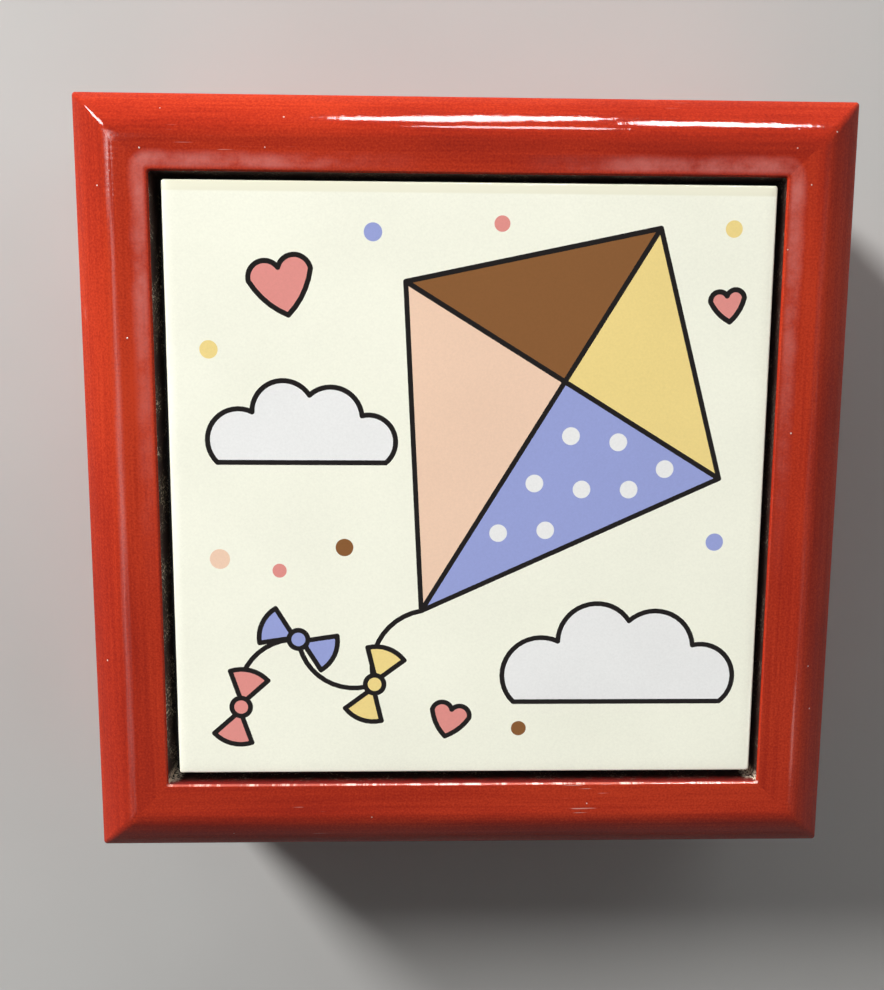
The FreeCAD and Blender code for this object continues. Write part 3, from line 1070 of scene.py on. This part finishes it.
def felt_mesh(low, high, facing):
    """A sheet that fills a box. Its back is flat, its face is uneven and its cut edges wander."""
    axis, first, second = sheet_axes(facing)
    size = high - low
    back = low[axis] if facing[axis] > 0 else high[axis]

    def point(a, b, height):
        """A place on the sheet, with its cut edges drawn in unevenly."""
        in_a = felt_edge_wobble * uneven(Vector((0, b, low[axis])), felt_wobble_spacing)
        in_b = felt_edge_wobble * uneven(Vector((a, side_edge_seed, low[axis])), felt_wobble_spacing)
        dip = felt_dip * uneven(Vector((a, b, low[axis])), felt_dip_spacing) if height > 0 else 0
        place = Vector((0, 0, 0))
        place[first] = low[first] + a + in_a * (1 - 2 * a / size[first])
        place[second] = low[second] + b + in_b * (1 - 2 * b / size[second])
        place[axis] = back + facing[axis] * (height - dip)
        return place

    across, along = edge_places(size[first]), edge_places(size[second])
    bm = bmesh.new()
    rows = []
    for a in across:
        drops = [max(edge_drop(a, size[first]), edge_drop(b, size[second])) for b in along]
        rows.append([bm.verts.new(point(a, b, size[axis] - drop)) for b, drop in zip(along, drops)])
    for row, after in zip(rows, rows[1:]):
        bridge(bm, row, after, closed=False)
    rim = rows[0][:-1] + [row[-1] for row in rows[:-1]]
    rim += rows[-1][:0:-1] + [row[0] for row in rows[:0:-1]]
    foot = []
    for vert in rim:
        place = vert.co.copy()
        place[axis] = back
        foot.append(bm.verts.new(place))
    bridge(bm, rim, foot)
    bm.faces.new(foot)
    return bm


def felt_sheet(sheet, material):
    """A sheet of felt in a node's place, glued by its back."""
    low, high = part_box(sheet.node)
    piece = new_piece(sheet.name, felt_mesh(low, high, sheet.facing), [material], sheet.body)
    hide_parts(sheet.node)


def linings(felts):
    """The felt in the base, in the lid and under the box."""
    up, down = (0, 0, 1), (0, 0, -1)
    walls = {"front": (0, 1, 0), "rear": (0, -1, 0), "left": (1, 0, 0), "right": (-1, 0, 0)}
    sheets = []
    for side, facing in walls.items():
        names = (f"{side}_wall_felt", f"{side}_wall_lining")
        wall = f"{side}_wall_lacquered"
        sheets.append(Sheet(*names, "base", facing, "stretched", "lining_felt", wall))
    floor, panel = "base_floor_panel", "lid_backing_panel"
    sheets += [
        Sheet("floor_felt", "floor_lining", "base", up, "laid", "lining_felt", floor),
        Sheet("lid_felt", "lid_lining", "lid", down, "stretched", "lining_felt", panel),
        Sheet("underside_felt", "base_felt_sheet", "base", down, "stretched", "underside_felt", floor),
    ]
    for sheet in sheets:
        felt_sheet(sheet, felts[sheet.slot])


def tape_pads(material):
    """Four squares of foam tape, pressed so that their sides swell."""
    low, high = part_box("tile_tape_pads")
    half = pad_side / 2
    bm = bmesh.new()
    for x in (low.x + half, high.x - half):
        for y in (low.y + half, high.y - half):
            rings = []
            for step in range(arc_steps + 1):
                swell = math.sin(math.pi * step / arc_steps)
                up = low.z + (high.z - low.z) * step / arc_steps
                ring = square_ring(half - pad_bulge * (1 - swell), corner_ease)
                rings.append([bm.verts.new((x + a, y + b, up)) for a, b in ring])
            for ring, after in zip(rings, rings[1:]):
                bridge(bm, ring, after)
            bm.faces.new(rings[0])
            bm.faces.new(rings[-1])
    piece = new_piece("foam_tape_pads", bm, [material], "lid")
    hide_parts("tile_tape_pads")


def finish_solids():
    """Gives the hinges and the two boards, whose solids are shown as they are, their materials."""
    metal = brass()
    board = backing_board()
    for name, node in frame["nodes"].items():
        if "hinge" in name:
            node.data.materials[0] = metal
        elif name in ("lid_backing_panel", "base_floor_panel"):
            node.data.materials[0] = board


# Stage

# A lamp has a direction from the lid's middle, a size in metres, a roll in degrees and a power in watts.
# A glow is a soft patch of sky round a direction, as wide as its spread along each axis.
floor_size = 8.0
lamp_distance = 1.4
Lamp = namedtuple("Lamp", "direction size roll power lights mirrored reach")
lamps = {
    "key": Lamp((-0.65, 0.62, 0.44), (0.28, 0.7), 0, 31.0, True, True, "rest"),
    "back": Lamp((0.12, 0.96, 0.22), (2.6, 0.6), 0, 14.5, True, False, "rest"),
    "tile_key": Lamp((-0.55, 0.45, 0.7), (0.5, 0.5), 0, 24.0, True, False, "tile"),
    "tile_sheen": Lamp((-0.65, 0.62, 0.44), (0.28, 0.7), 0, 31.0, False, True, "tile"),
    "fill": Lamp((0.75, 0.2, 0.63), (0.8, 0.8), 0, 1.5, True, False, "all"),
    "left_streak": Lamp((0.05, 0.95, 0.27), (0.46, 0.16), 18, 13.0, False, True, "all"),
    "right_streak": Lamp((0.31, 0.9, 0.32), (0.27, 0.15), 0, 9.0, False, True, "all"),
    "low_streak": Lamp((0.1, 0.82, 0.56), (0.32, 0.18), 0, 7.5, False, True, "all"),
}
sky_light = 0.08
Glow = namedtuple("Glow", "direction spread strength")
glows = (
    Glow((-0.53, 0.27, 0.8), (0.32, 0.18, 0.5), 34.0),
    Glow((-0.55, -0.1, 0.78), (0.27, 0.65, 0.6), 8.0),
    Glow((0.57, -0.33, 0.76), (0.14, 0.1, 0.3), 7.0),
    Glow((0.72, -0.1, 0.7), (0.3, 0.5, 0.4), 1.5),
)


def soft_light(name, lamp, glazed):
    """A soft light that faces the lid. It may light the object, be mirrored in it, or both.

    Its light reaches all, the glazed tile alone, or all the rest.
    """
    light = bpy.data.lights.new(name, "AREA")
    light.shape = "ELLIPSE"
    light.size, light.size_y = lamp.size
    light.energy = lamp.power
    fitting = new_object(name, light)
    aim = Vector(lamp.direction).normalized()
    fitting.location = Vector((0, 0, top_z)) + aim * lamp_distance
    facing = aim.to_track_quat("Z", "Y") @ Quaternion((0, 0, 1), math.radians(lamp.roll))
    fitting.rotation_euler = facing.to_euler()
    fitting.visible_camera = False
    fitting.visible_diffuse = lamp.lights
    fitting.visible_glossy = lamp.mirrored
    if lamp.reach != "all":
        receivers = bpy.data.collections.new(f"{name}_receivers")
        receivers.objects.link(glazed)
        fitting.light_linking.receiver_collection = receivers
        linking = receivers.collection_objects[0].light_linking
        linking.link_state = "INCLUDE" if lamp.reach == "tile" else "EXCLUDE"


def sky():
    """A pale surround with dim light. Soft glows that only mirrors show are the lacquer's sheen."""
    world = bpy.data.worlds.new("surround")
    bpy.context.scene.world = world
    world.use_nodes = True
    tree = world.node_tree
    tree.nodes.clear()
    direction = add(tree, "TexCoord").outputs["Generated"]
    inputs = {"Value": seen(tree), "To Min": sky_light, "To Max": surround_level}
    level = add(tree, "MapRange", inputs).outputs["Result"]
    clouds = add(tree, "TexNoise", {"Vector": direction, "Scale": 9.0, "Detail": 3.0}).outputs["Fac"]
    mirror = add(tree, "LightPath").outputs["Is Glossy Ray"]
    reflected = product(tree, mirror, between(tree, clouds, 0.32, 0.62))
    for glow in glows:
        offset = vector_maths(tree, "SUBTRACT", direction, glow.direction)
        away = vector_maths(tree, "LENGTH", vector_maths(tree, "DIVIDE", offset, glow.spread))
        shine = product(tree, between(tree, away, 1.0, 0.0), reflected)
        level = weighted(tree, (shine, glow.strength), start=level)
    white = (1.0, 1.0, 1.0, 1.0)
    background = add(tree, "Background", {"Color": white, "Strength": level})
    add(tree, "OutputWorld", {"Surface": background.outputs["Background"]})


def stage(glazed):
    """The floor, the lights and the camera."""
    half = floor_size / 2
    mesh = bpy.data.meshes.new("floor")
    corners = [(-half, -half, 0), (half, -half, 0), (half, half, 0), (-half, half, 0)]
    mesh.from_pydata(corners, [], [(0, 1, 2, 3)])
    mesh.materials.append(pale_floor())
    floor = new_object("floor", mesh)
    for name, lamp in lamps.items():
        soft_light(name, lamp, glazed)
    sky()
    camera = new_object("camera", bpy.data.cameras.new("camera"))
    camera.location = camera_place
    camera.rotation_euler = Euler([math.radians(angle) for angle in camera_turn])
    camera.data.lens = camera_lens
    camera.data.sensor_width = camera_sensor
    camera.data.clip_start = camera_clip_start
    bpy.context.scene.camera = camera
    bpy.context.scene.view_settings.view_transform = "Standard"


woodwork({grain: lacquer(grain) for grain in ("x", "y")}, recess_paint(), raw_wood())
glazed_tile = tile([glaze(name, colour) for name, colour in glaze_colours.items()], bisque())
linings({name: felt(name) for name in ("lining_felt", "underside_felt")})
tape_pads(foam())
finish_solids()
stage(glazed_tile)
